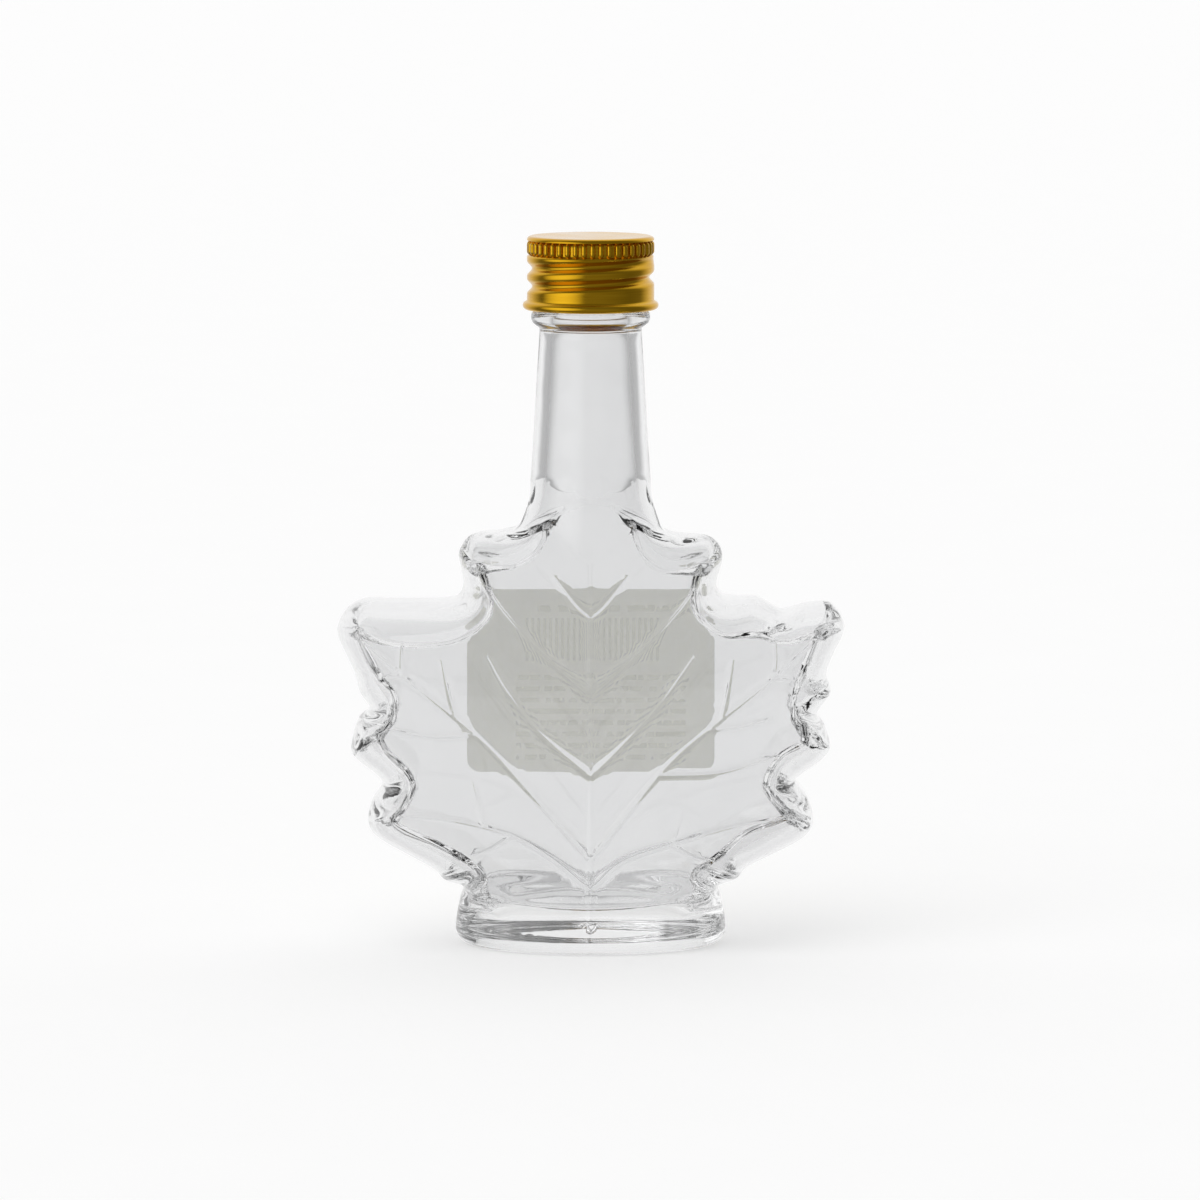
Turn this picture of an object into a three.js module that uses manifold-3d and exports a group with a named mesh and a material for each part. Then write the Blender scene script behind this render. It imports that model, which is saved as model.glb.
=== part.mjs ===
// A small clear glass bottle shaped like a maple leaf, empty, with a gold aluminium screw cap
// and a paper label on its back. Millimetres, +Z up, front towards -Y, origin under the foot.
import * as THREE from 'three';
import { mergeVertices } from 'three/addons/utils/BufferGeometryUtils.js';
import Module from 'manifold-3d';

const wasm = await Module();
wasm.setup();

// Leaf body
const leafDepth = 12.0; // half thickness between the flat faces, low down
const leafThinFrom = 30; // above this height the leaf thins towards the neck
const leafThinBy = 4.4;
const leafThinSpan = 36.5;
const leafCentre = new THREE.Vector2(0, 29);
const rimTurn = THREE.MathUtils.degToRad(66); // turn of the rounded rim before the face's crease
const wall = 1.8;
const rimWall = 2.1;
const faceInset = 1.2; // how far the inside face stays from the crease
const insideTurn = 0.95 * (Math.PI / 2);

// Neck, collar and mouth, as [radius, height] from inside the leaf up
const neckSegments = 40;
const neckTopRadius = 7.6;
const collarHeight = 93.0;
const collarRadius = 8.9;
const finishRadius = 7.9;
const mouthHeight = 105.6;
const lipRound = 0.4;
const neckProfile = [
  [0, 54.5], [7.4, 54.5], [9.0, 57], [9.35, 60], [9.3, 66.5], [9.0, 70], [neckTopRadius, collarHeight],
];
const collarProfile = [
  [8.0, collarHeight + 0.25], [8.7, collarHeight + 0.8], [collarRadius, collarHeight + 1.4],
  [collarRadius, collarHeight + 2.1], [8.6, collarHeight + 2.4], [finishRadius, collarHeight + 2.5],
];
const boreTopRadius = 5.6;
const boreProfile = [
  [0, 58], [6.2, 58], [7.4, 62], [7.3, 66.8], [6.8, 70], [boreTopRadius, collarHeight],
];

// Foot
const footHalfWidth = 20.4;
const footHalfDepth = 13.5;
const heelRadius = 2.6;
const heelSteps = 4;
const footSegments = 44;
const footWaist = [[6.5, 19.8, 12.55], [9.0, 19.25, 12.2], [11.0, 18.9, 11.95]]; // height, half width, half depth
const footTop = 11.0;
const footMeetsLeaf = 10.7; // height at which the foot's middle is level with the face
const floorHeight = 6.4; // inside, over the thick base
const floorRise = 0.012; // the inside floor curves up towards its ends
const floorBlend = 3; // the inside face starts this far above the floor
const standWidth = 1.4; // ring that the bottle stands on
const puntDepth = 0.8;
const puntSegments = 40;
const puntMiddle = [0.7 * puntDepth, 11, 5]; // height, half width, half depth

// Cap
const capRadius = 9.5;
const capBottom = 95.7;
const capTop = 106.7;
const capBore = 8.35;
const capTopThickness = 0.7;
const capMouthRadius = 9.2; // inside the bead
const capMouthHeight = 0.9;
const capMouthSlope = 0.7;
const skirtFrom = 97.8;
const skirtStep = 0.8;
const beadRadius = 10.15;
const beadHalfHeight = 0.65;
const knurlCount = 45;
const knurlDepth = 0.3;
const knurlFrom = 103.7;
const knurlTo = 105.6;
const threadPitch = 2.67;
const threadDepth = 0.75;
const threadHalfWidth = 1.1;
const threadStart = 98.6; // height of the groove where it begins, at the left of the back
const threadTurns = 1.75;
const threadPhase = 0.28; // share of a turn before the groove begins
const threadFade = 0.15;
const threadMargin = 1.4; // no groove in the bead

// Label and veins
const labelHalfWidth = 18.8;
const labelLow = 24.3;
const labelHigh = 52.5;
const labelCorner = 2.0;
const labelGap = 0.3;
const labelThickness = 0.3;
const labelRows = 14;
const veinHeight = 0.5;
const veinRoot = 0.7; // how deep a ridge reaches into the glass
const veinTaper = 0.75;
const veinTipHeight = 0.4;

// One row for each turn of the leaf's edge, from the neck down to the foot:
// x and z of the outermost rim, then x and z of the flat face's crease.
const leftEdge = [
  [-6.0, 71.0, -1.4, 69.5],
  [-9.2, 67.5, -2.8, 67.4],
  [-10.2, 64.4, -5.0, 66.0],
  [-11.6, 62.6, -7.1, 64.4],
  [-14.0, 62.4, -7.4, 62.3],
  [-16.6, 62.3, -8.8, 60.3],
  [-18.5, 61.4, -11.4, 58.8],
  [-19.7, 59.4, -14.3, 58.4],
  [-19.6, 57.7, -17.0, 58.5],
  [-19.1, 54.7, -15.7, 55.0],
  [-19.9, 52.8, -15.2, 52.8],
  [-22.1, 52.3, -16.4, 50.2],
  [-25.6, 52.3, -20.1, 47.8],
  [-30.1, 52.3, -25.3, 47.1],
  [-33.8, 52.3, -30.5, 47.4],
  [-36.3, 51.0, -33.9, 48.7],
  [-37.8, 48.7, -35.0, 48.3],
  [-37.9, 46.7, -34.5, 47.1],
  [-36.7, 44.0, -33.3, 44.4],
  [-35.4, 41.0, -31.7, 41.7],
  [-34.7, 38.3, -29.8, 39.4],
  [-33.2, 35.8, -29.6, 36.8],
  [-35.0, 34.0, -30.7, 34.5],
  [-36.0, 30.0, -32.0, 33.6],
  [-35.2, 28.2, -30.8, 30.6],
  [-32.3, 25.9, -27.9, 27.7],
  [-31.4, 24.3, -26.9, 25.5],
  [-32.9, 21.8, -28.2, 22.4],
  [-33.5, 18.5, -29.8, 20.3],
  [-32.0, 16.3, -28.1, 18.5],
  [-28.0, 13.9, -23.6, 16.6],
  [-23.9, 11.6, -19.6, 14.5],
  [-22.0, 9.8, -17.7, 13.1],
  [-19.3, 8.9, -16.5, 11.8],
  [-14.0, 7.6, -12.5, 10.6],
];
const rightEdge = [
  [6.0, 71.0, 1.4, 69.5],
  [9.2, 67.5, 2.4, 67.4],
  [10.1, 64.4, 4.6, 66.3],
  [11.2, 62.4, 6.7, 64.7],
  [13.7, 61.8, 7.2, 62.5],
  [16.5, 61.9, 8.4, 59.8],
  [18.2, 61.4, 10.8, 58.1],
  [19.5, 59.9, 13.9, 57.9],
  [19.7, 58.0, 16.6, 58.5],
  [18.9, 54.7, 15.8, 55.0],
  [19.7, 53.0, 15.8, 52.8],
  [22.1, 52.6, 17.0, 50.5],
  [25.1, 52.5, 20.1, 48.5],
  [28.9, 50.6, 24.3, 48.7],
  [32.6, 51.6, 28.6, 47.5],
  [35.9, 51.6, 32.3, 48.3],
  [37.9, 49.0, 34.7, 48.9],
  [37.8, 46.9, 33.9, 47.4],
  [36.4, 44.0, 32.7, 44.4],
  [35.4, 41.0, 31.5, 41.4],
  [36.0, 38.2, 30.7, 38.5],
  [34.0, 35.0, 30.7, 36.7],
  [35.2, 33.1, 31.3, 35.5],
  [36.0, 30.0, 32.1, 34.9],
  [34.8, 28.1, 32.0, 31.8],
  [31.8, 25.9, 28.6, 29.7],
  [30.9, 24.7, 26.5, 25.9],
  [32.7, 22.1, 28.2, 23.2],
  [33.5, 18.6, 30.6, 21.2],
  [32.0, 16.2, 28.2, 19.9],
  [28.1, 14.0, 23.4, 18.1],
  [23.7, 11.8, 19.9, 15.1],
  [21.9, 9.9, 17.5, 13.3],
  [19.3, 8.9, 15.8, 12.1],
  [14.0, 7.6, 12.5, 10.6],
];

// Raised veins: width at the root, then the points it runs through from root to tip.
const veins = [
  [1.5, [0, 4.6], [0, 16], [0, 28], [0, 40]],
  [1.3, [0, 40], [0, 47], [0, 54.4]],
  [1.5, [0, 51.0], [-2.2, 52.9], [-5.1, 56.4]],
  [1.5, [0, 51.0], [2.2, 52.9], [5.2, 56.4]],
  [1.5, [0, 39.2], [-6.9, 45.1], [-12.5, 51.2], [-15.0, 54.6]],
  [1.5, [0, 39.2], [6.9, 45.2], [12.6, 51.2], [15.2, 54.6]],
  [1.6, [0, 27.1], [-7.3, 33.2], [-12.6, 39.8], [-15.4, 44.8]],
  [1.6, [0, 27.1], [4.6, 31.4], [10.4, 37.8], [15.2, 44.6]],
  [1.6, [0, 14.6], [-8.9, 24.6], [-17.3, 33.4], [-27.0, 41.4], [-34.2, 47.5]],
  [1.6, [0, 14.6], [10.3, 27.4], [18.2, 34.6], [27.0, 41.6], [33.8, 47.8]],
  [0.9, [-28.0, 42.2], [-28.1, 45], [-27.8, 47.7]],
  [0.9, [27.2, 41.8], [27.5, 44.5], [27.5, 47.4]],
  [0.9, [-27.8, 42.2], [-29.2, 42.1], [-30.8, 41.9]],
  [0.9, [27.2, 41.8], [28.4, 41.6], [29.8, 41.4]],
  [1.1, [-20.1, 36.0], [-21.2, 40.0], [-22.1, 44.3]],
  [1.1, [19.6, 36.0], [20.4, 40.0], [21.1, 44.3]],
  [1.1, [-17.4, 33.3], [-23.9, 33.1], [-29.6, 34.0]],
  [1.1, [18.0, 34.2], [22.2, 34.6], [26.2, 35.6]],
  [1.1, [10.2, 27.2], [19.1, 27.6], [27.2, 30.0]],
  [1.5, [0, 10.2], [-6.0, 14.9], [-12.3, 18.4], [-21.4, 20.6], [-29.3, 21.2]],
  [1.5, [0, 10.2], [4.6, 14.2], [12.6, 17.0], [21.6, 19.6], [30.3, 21.1]],
  [0.9, [-15.8, 19.6], [-16.7, 23.2], [-17.4, 25.9]],
  [0.9, [12.2, 17.0], [13.0, 19.3], [13.5, 21.4]],
  [0.9, [-12.0, 18.0], [-14.7, 16.3], [-17.1, 15.4]],
  [0.9, [12.0, 16.8], [14.8, 15.2], [17.2, 14.3]],
];

function solidFrom(geometry) {
  const bare = geometry.clone();
  bare.deleteAttribute('normal');
  bare.deleteAttribute('uv');
  const merged = mergeVertices(bare, 1e-4);
  const triVerts = new Uint32Array(merged.index.array);
  const vertProperties = new Float32Array(merged.attributes.position.array);
  return new wasm.Manifold(new wasm.Mesh({ numProp: 3, vertProperties, triVerts }));
}

function geometryFrom(solid) {
  const mesh = solid.getMesh();
  const geometry = new THREE.BufferGeometry();
  const points = new Float32Array(mesh.numVert * 3);
  for (let i = 0; i < mesh.numVert; i++) {
    for (let k = 0; k < 3; k++) points[i * 3 + k] = mesh.vertProperties[i * mesh.numProp + k];
  }
  geometry.setAttribute('position', new THREE.BufferAttribute(points, 3));
  geometry.setIndex(Array.from(mesh.triVerts));
  geometry.computeVertexNormals();
  return geometry;
}

// A closed skin from a first point, through rings of equal count, to a last point.
function ringLoft(first, rings, last) {
  const points = [first, ...rings.flat(), last];
  const count = rings[0].length;
  const index = [];
  const at = (ring, i) => 1 + ring * count + (i % count);
  for (let i = 0; i < count; i++) {
    index.push(0, at(0, i + 1), at(0, i));
    for (let r = 0; r + 1 < rings.length; r++) {
      index.push(at(r, i), at(r, i + 1), at(r + 1, i));
      index.push(at(r, i + 1), at(r + 1, i + 1), at(r + 1, i));
    }
    index.push(points.length - 1, at(rings.length - 1, i), at(rings.length - 1, i + 1));
  }
  const geometry = new THREE.BufferGeometry().setFromPoints(points);
  geometry.setIndex(index);
  return geometry;
}

// A turned solid about Z from [radius, height] pairs that start and end on the axis.
function turned(profile, segments) {
  const points = profile.map(([r, z]) => new THREE.Vector2(r, z));
  return new THREE.LatheGeometry(points, segments).rotateX(Math.PI / 2);
}

function halfDepth(z) {
  const up = Math.max(z - leafThinFrom, 0) / leafThinSpan;
  return leafDepth - leafThinBy * up * up;
}

// The leaf's closed edge: rim and crease sampled together, left side down, then right side up.
function leafEdge(perSpan) {
  const edge = [];
  for (const [rows, upward] of [[leftEdge, false], [rightEdge, true]]) {
    const rim = new THREE.SplineCurve(rows.map((row) => new THREE.Vector2(row[0], row[1])));
    const face = new THREE.SplineCurve(rows.map((row) => new THREE.Vector2(row[2], row[3])));
    const count = (rows.length - 1) * perSpan;
    for (let i = 0; i <= count; i++) {
      const t = upward ? 1 - i / count : i / count;
      edge.push({ rim: rim.getPoint(t), face: face.getPoint(t) });
    }
  }
  return edge;
}

// A leaf-shaped cushion: a rounded rim that turns through an angle, then a face out to the centre.
function leafCushion(edge, depthAt, turn, rimSteps, faceSteps) {
  const half = [];
  for (let k = 0; k <= rimSteps; k++) {
    const angle = (turn * k) / rimSteps;
    const inset = (1 - Math.cos(angle)) / (1 - Math.cos(turn));
    const lift = Math.sin(angle) / Math.sin(turn);
    half.push(edge.map(({ rim, face }) => {
      const p = rim.clone().lerp(face, inset);
      return new THREE.Vector3(p.x, -lift * depthAt(face.y), p.y);
    }));
  }
  for (let k = 1; k < faceSteps; k++) {
    half.push(edge.map(({ face }) => {
      const p = face.clone().lerp(leafCentre, k / faceSteps);
      return new THREE.Vector3(p.x, -depthAt(p.y), p.y);
    }));
  }
  const flip = (p) => new THREE.Vector3(p.x, -p.y, p.z);
  const back = half.slice(1).reverse().map((ring) => ring.map(flip));
  const front = new THREE.Vector3(leafCentre.x, -depthAt(leafCentre.y), leafCentre.y);
  return ringLoft(flip(front), [...back, ...half], front);
}

// Pull a closed line in to its nearest neighbours' reach from the centre, then even it out,
// so that it never crosses the line it came from.
function rounded(line, reach = 2) {
  const count = line.length;
  const radii = line.map((p) => p.distanceTo(leafCentre));
  const window = (list, i) => {
    const near = [];
    for (let k = -reach; k <= reach; k++) near.push(list[(i + k + count) % count]);
    return near;
  };
  const drawnIn = radii.map((_, i) => Math.min(...window(radii, i)));
  return line.map((p, i) => {
    const near = window(drawnIn, i);
    const radius = near.reduce((sum, r) => sum + r, 0) / near.length;
    return leafCentre.clone().lerp(p, radius / radii[i]);
  });
}

function middleOf(ring) {
  const sum = ring.reduce((total, p) => total.add(p), new THREE.Vector3());
  return sum.divideScalar(ring.length);
}

function ellipseRing(z, a, b, count) {
  const ring = [];
  for (let i = 0; i < count; i++) {
    const angle = (2 * Math.PI * i) / count;
    ring.push(new THREE.Vector3(a * Math.cos(angle), b * Math.sin(angle), z));
  }
  return ring;
}

// A ridge that tapers from root to tip along the front face.
function veinRidge([width, ...path]) {
  const curve = new THREE.SplineCurve(path.map(([x, z]) => new THREE.Vector2(x, z)));
  const steps = path.length + 1;
  const section = [[-1, -veinRoot], [0, 1], [1, -veinRoot]];
  const rings = [];
  for (let i = 0; i <= steps; i++) {
    const t = i / steps;
    const p = curve.getPoint(t);
    const along = curve.getTangent(t);
    const taper = 1 - veinTaper * t;
    rings.push(section.map(([across, up]) => {
      const x = p.x + 0.5 * width * taper * across * along.y;
      const z = p.y - 0.5 * width * taper * across * along.x;
      const rise = up > 0 ? up * veinHeight * (veinTipHeight + (1 - veinTipHeight) * taper) : up;
      return new THREE.Vector3(x, -halfDepthWithFoot(z) - rise, z);
    }));
  }
  return ringLoft(middleOf(rings[0]), rings, middleOf(rings[steps]));
}

// Below the leaf the middle of the foot's face stands a little further out.
function halfDepthWithFoot(z) {
  const foot = footHalfDepth - ((footHalfDepth - leafDepth) * (z - heelRadius)) / (footMeetsLeaf - heelRadius);
  return Math.max(halfDepth(z), Math.min(foot, footHalfDepth));
}

function makeBottle() {
  const edge = leafEdge(2);
  let body = solidFrom(leafCushion(edge, halfDepth, rimTurn, 3, 3));

  const neck = turned([
    ...neckProfile, ...collarProfile, [finishRadius, mouthHeight - lipRound],
    [finishRadius - lipRound, mouthHeight], [0, mouthHeight],
  ], neckSegments);
  body = body.add(solidFrom(neck));

  const footRings = [];
  for (let i = 0; i <= heelSteps; i++) {
    const angle = (Math.PI / 2) * (i / heelSteps);
    const inset = heelRadius * (1 - Math.sin(angle));
    const z = heelRadius * (1 - Math.cos(angle));
    footRings.push(ellipseRing(z, footHalfWidth - inset, footHalfDepth - inset, footSegments));
  }
  for (const [z, a, b] of footWaist) footRings.push(ellipseRing(z, a, b, footSegments));
  const foot = ringLoft(new THREE.Vector3(0, 0, 0), footRings, new THREE.Vector3(0, 0, footTop));
  body = body.add(solidFrom(foot));

  for (const vein of veins) body = body.add(solidFrom(veinRidge(vein)));

  // The inside follows the leaf a wall's thickness in, and its corners are rounder than outside.
  const rimIn = [];
  const faceIn = [];
  for (const { rim, face } of edge) {
    const gap = rim.distanceTo(face);
    rimIn.push(rim.clone().lerp(face, Math.min(1, rimWall / gap)));
    faceIn.push(face.clone().lerp(leafCentre, faceInset / face.distanceTo(leafCentre)));
  }
  const rimRound = rounded(rimIn);
  const faceRound = rounded(faceIn);
  const inner = [];
  for (let i = 0; i < edge.length; i += 2) {
    const rim = rimRound[i];
    const face = faceRound[i];
    rim.y = Math.max(rim.y, floorHeight + floorRise * rim.x * rim.x);
    face.y = Math.max(face.y, floorHeight + floorBlend + floorRise * face.x * face.x);
    inner.push({ rim, face });
  }
  const insideDepth = (z) => halfDepth(z) - wall;
  body = body.subtract(solidFrom(leafCushion(inner, insideDepth, insideTurn, 3, 2)));

  const bore = turned([...boreProfile, [boreTopRadius, mouthHeight + 1], [0, mouthHeight + 1]], neckSegments);
  body = body.subtract(solidFrom(bore));

  const standInset = heelRadius + standWidth;
  const punt = ringLoft(new THREE.Vector3(0, 0, -1), [
    ellipseRing(-1, footHalfWidth - standInset, footHalfDepth - standInset, puntSegments),
    ellipseRing(0, footHalfWidth - standInset - 0.2, footHalfDepth - standInset - 0.2, puntSegments),
    ellipseRing(...puntMiddle, puntSegments),
  ], new THREE.Vector3(0, 0, puntDepth));
  return body.subtract(solidFrom(punt));
}

// The groove that the rolled thread leaves in the cap's skirt, at a place round it and a height.
function threadGroove(angle, z) {
  let depth = 0;
  for (let turn = 0; turn < 3; turn++) {
    const run = angle / (2 * Math.PI) + turn - threadPhase;
    const off = Math.abs(z - threadStart - threadPitch * run) / threadHalfWidth;
    const fade = THREE.MathUtils.clamp(Math.min(run, threadTurns - run) / threadFade, 0, 1);
    if (off < 1) depth = Math.max(depth, fade * threadDepth * Math.cos((Math.PI / 2) * off) ** 2);
  }
  return depth;
}

function makeCap() {
  const levels = [[capBottom, capRadius + 0.1]];
  for (const up of [-0.6, 0, 0.6]) {
    const bulge = (beadRadius - capRadius) * Math.sqrt(1 - up * up);
    levels.push([capBottom + beadHalfHeight * (1 + up), capRadius + bulge]);
  }
  levels.push([capBottom + 2 * beadHalfHeight, capRadius]);
  for (let z = skirtFrom; z < knurlFrom - 0.2; z += skirtStep) levels.push([z, capRadius]);
  levels.push([knurlFrom, capRadius], [knurlFrom + 0.35, capRadius]);
  levels.push([knurlTo - 0.35, capRadius], [knurlTo, capRadius - 0.05]);
  levels.push([capTop - 0.5, capRadius - 0.25], [capTop - 0.1, capRadius - 0.8]);
  levels.push([capTop, capRadius - 1.4]);
  const count = 2 * knurlCount;
  const rings = levels.map(([z, radius]) => {
    const ring = [];
    const knurled = z > knurlFrom + 0.1 && z < knurlTo - 0.1;
    for (let i = 0; i < count; i++) {
      const angle = (2 * Math.PI * i) / count;
      const dent = knurled && i % 2 === 1 ? knurlDepth : 0;
      const r = radius - dent - (z > capBottom + threadMargin ? threadGroove(angle, z) : 0);
      ring.push(new THREE.Vector3(r * Math.cos(angle), r * Math.sin(angle), z));
    }
    return ring;
  });
  const skin = ringLoft(new THREE.Vector3(0, 0, capBottom), rings, new THREE.Vector3(0, 0, capTop));
  const hollow = turned([
    [0, capBottom - 1], [capMouthRadius, capBottom - 1], [capMouthRadius, capBottom + capMouthHeight],
    [capBore, capBottom + capMouthHeight + capMouthSlope],
    [capBore, capTop - capTopThickness], [0, capTop - capTopThickness],
  ], 45);
  return solidFrom(skin).subtract(solidFrom(hollow));
}

// The label is a thin sheet on the back face, with rounded corners.
function makeLabel() {
  const rings = [];
  for (let i = 0; i <= labelRows; i++) {
    const z = THREE.MathUtils.lerp(labelLow, labelHigh, 0.5 - 0.5 * Math.cos((Math.PI * i) / labelRows));
    const fromEnd = Math.min(z - labelLow, labelHigh - z, labelCorner);
    const cut = labelCorner - Math.sqrt(labelCorner ** 2 - (labelCorner - fromEnd) ** 2);
    const w = labelHalfWidth - cut;
    const near = halfDepth(z) + labelGap;
    const far = near + labelThickness;
    rings.push([[-w, near], [w, near], [w, far], [-w, far]].map(([x, y]) => new THREE.Vector3(x, y, z)));
  }
  return solidFrom(ringLoft(middleOf(rings[0]), rings, middleOf(rings[labelRows])));
}

const glass = new THREE.MeshStandardMaterial({ color: 0xe6e8ea, roughness: 0.03, metalness: 0 });
const gold = new THREE.MeshStandardMaterial({ color: 0xc8921c, roughness: 0.25, metalness: 1 });
const paper = new THREE.MeshStandardMaterial({ color: 0xc9cabd, roughness: 0.8, metalness: 0 });

const bottle = new THREE.Group();
for (const [name, solid, material] of [
  ['glass_bottle', makeBottle(), glass],
  ['cap', makeCap(), gold],
  ['back_label', makeLabel(), paper],
]) {
  const mesh = new THREE.Mesh(geometryFrom(solid), material);
  mesh.name = name;
  bottle.add(mesh);
}

export default bottle;
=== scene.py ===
import bpy
import bmesh
import math
import numpy as np
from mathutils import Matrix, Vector
from mathutils.geometry import delaunay_2d_cdt


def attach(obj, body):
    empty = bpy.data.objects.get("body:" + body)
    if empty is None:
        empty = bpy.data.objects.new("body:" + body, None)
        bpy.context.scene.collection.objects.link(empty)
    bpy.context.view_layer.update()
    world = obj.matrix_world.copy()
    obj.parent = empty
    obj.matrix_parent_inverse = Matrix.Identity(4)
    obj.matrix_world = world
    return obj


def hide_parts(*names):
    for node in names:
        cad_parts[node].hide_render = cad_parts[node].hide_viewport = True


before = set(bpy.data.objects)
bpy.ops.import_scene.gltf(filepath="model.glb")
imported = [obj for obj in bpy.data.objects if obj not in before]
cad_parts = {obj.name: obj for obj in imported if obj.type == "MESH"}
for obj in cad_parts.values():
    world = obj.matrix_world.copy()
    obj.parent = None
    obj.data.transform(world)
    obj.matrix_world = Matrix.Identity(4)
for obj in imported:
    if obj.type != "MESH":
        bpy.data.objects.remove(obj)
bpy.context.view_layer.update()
mm = 0.001  # every size below is in millimetres, meshes are in metres
print("frame loaded:", sorted(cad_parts))


# camera at the photograph's angle

shot = {
    "eye": (1.4, -990.0, 173.0),
    "target": (1.4, 0.0, 52.0),
    "lens": 199.5,
    "sensor": 36.0,
}


def makeCamera():
    lensData = bpy.data.cameras.new("shotCamera")
    lensData.lens = shot["lens"]
    lensData.sensor_width = shot["sensor"]
    lensData.clip_start = 0.01
    lensData.clip_end = 50.0
    camera = bpy.data.objects.new("shotCamera", lensData)
    eye = Vector(shot["eye"]) * mm
    camera.location = eye
    camera.rotation_euler = (Vector(shot["target"]) * mm - eye).to_track_quat("-Z", "Y").to_euler()
    bpy.context.collection.objects.link(camera)
    bpy.context.scene.camera = camera
    print("camera placed")


# small tools

def curveThrough(points, perSpan):
    rows = np.asarray(points, float)
    ends = np.vstack([2 * rows[0] - rows[1], rows, 2 * rows[-1] - rows[-2]])
    t = np.linspace(0.0, 1.0, perSpan, endpoint=False)[:, None]
    line = []
    for i in range(len(rows) - 1):
        a, b, c, d = ends[i:i + 4]
        bend = (2 * a - 5 * b + 4 * c - d) * t ** 2 + (3 * b - a - 3 * c + d) * t ** 3
        line.append(0.5 * (2 * b + (c - a) * t + bend))
    line.append(rows[-1:])
    return np.vstack(line)


def softMax(a, b, reach):
    near = np.clip(reach - np.abs(a - b), 0.0, None) / reach
    return np.maximum(a, b) + near * near * reach / 4


def graded(z, knots, column):
    line = curveThrough(knots, 10)
    return np.interp(z, line[:, 0], line[:, column])


def insideOf(points, loop):
    inside = np.zeros(len(points), bool)
    px, pz = points[:, 0], points[:, 1]
    for (ax, az), (bx, bz) in zip(loop, np.roll(loop, -1, axis=0)):
        crosses = (az > pz) != (bz > pz)
        if az != bz:
            inside ^= crosses & (px < (bx - ax) * (pz - az) / (bz - az) + ax)
    return inside


def nearestGap(points, others):
    gaps = np.full(len(points), 1e3)
    for i in range(0, len(points) if len(others) else 0, 400):
        block = points[i:i + 400]
        away = np.hypot(block[:, None, 0] - others[None, :, 0], block[:, None, 1] - others[None, :, 1])
        gaps[i:i + 400] = away.min(axis=1)
    return gaps


def denser(loop, parts):
    after = np.roll(loop, -1, axis=0)
    return np.vstack([loop + (after - loop) * k / parts for k in range(parts)])


def clearOf(points, others, gap):
    return nearestGap(points, others) > gap


def pieceFrom(name, verts, faces, weld=0.004, sharp=None):
    mesh = bpy.data.meshes.new(name)
    mesh.from_pydata([Vector(v) * mm for v in verts], [], faces)
    shape = bmesh.new()
    shape.from_mesh(mesh)
    bmesh.ops.remove_doubles(shape, verts=shape.verts, dist=weld * mm)
    bmesh.ops.dissolve_degenerate(shape, edges=shape.edges, dist=weld * mm)
    bmesh.ops.recalc_face_normals(shape, faces=shape.faces)
    openEdges = sum(1 for e in shape.edges if not e.is_manifold)
    shape.to_mesh(mesh)
    shape.free()
    mesh.polygons.foreach_set("use_smooth", [True] * len(mesh.polygons))
    if sharp is not None:
        mesh.set_sharp_from_angle(angle=math.radians(sharp))
    piece = bpy.data.objects.new(name, mesh)
    bpy.context.collection.objects.link(piece)
    print(name, len(mesh.polygons), "faces,", openEdges, "open edges")
    return piece


# glass bottle: leaf body, neck and foot in one skin

leaf = {
    "depth": 12.0,       # half thickness low down
    "thinFrom": 30.0,    # thins towards the neck above this
    "thinBy": 4.4,
    "thinSpan": 36.5,
    "tuckBelow": 11.0,   # faces tuck in behind the foot
    "tuckBy": 0.6,
    "rimTurn": 66.42,    # turn of the rounded rim before the crease
    "creaseWidth": 0.5,  # the crease is rounded over this width
    "creaseDrop": 0.18,
    "creaseRows": (0.28, 0.58, 1.0),  # rows of points across the rounded crease
    "pointGap": 0.12,
    "topMargin": 1.0,    # the leaf fades out below the turned neck
    "footMargin": 0.3,   # and above the heel
    "fade": 3.0,
    "rimSteps": 14,
    "perSpan": 9,
    "gridStep": 0.9,
    "blend": 1.0,
}

hollow = {
    "perSpan": 9,
    "gridStep": 1.2,
    "wall": [(0.0, 1.5), (50.0, 1.5), (58.0, 1.52), (63.0, 1.62), (66.0, 1.78), (68.5, 2.02), (70.5, 2.14),
             (73.0, 2.15), (80.0, 2.2)],
    "smoothing": 4,      # rounds the inside corners
    "looseBelow": 63.0,  # no rounding above this, in the neck
    "looseFade": 3.0,
    "rimExtra": 0.9,     # added thickness where the rim faces sideways
    "rimExtraBelow": 62.0,
    "rimExtraFade": 6.0,
    "boreFrom": 69.5,    # the inside turns into the bore between these heights
    "boreFull": 73.5,
    "floor": 4.9,        # thick base
    "floorBelow": 20.0,  # only points below this meet the floor
    "floorTilt": 0.08,   # higher at the back
    "floorRise": (0.012, 0.02),
    "floorEnds": 19.5,   # past this the lobes are hollow lower down
    "floorFall": 2.5,
    "floorSoft": 2.0,
    "baseRings": (1.0, 0.85, 0.7, 0.55, 0.4, 0.25, 0.1),
}

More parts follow.
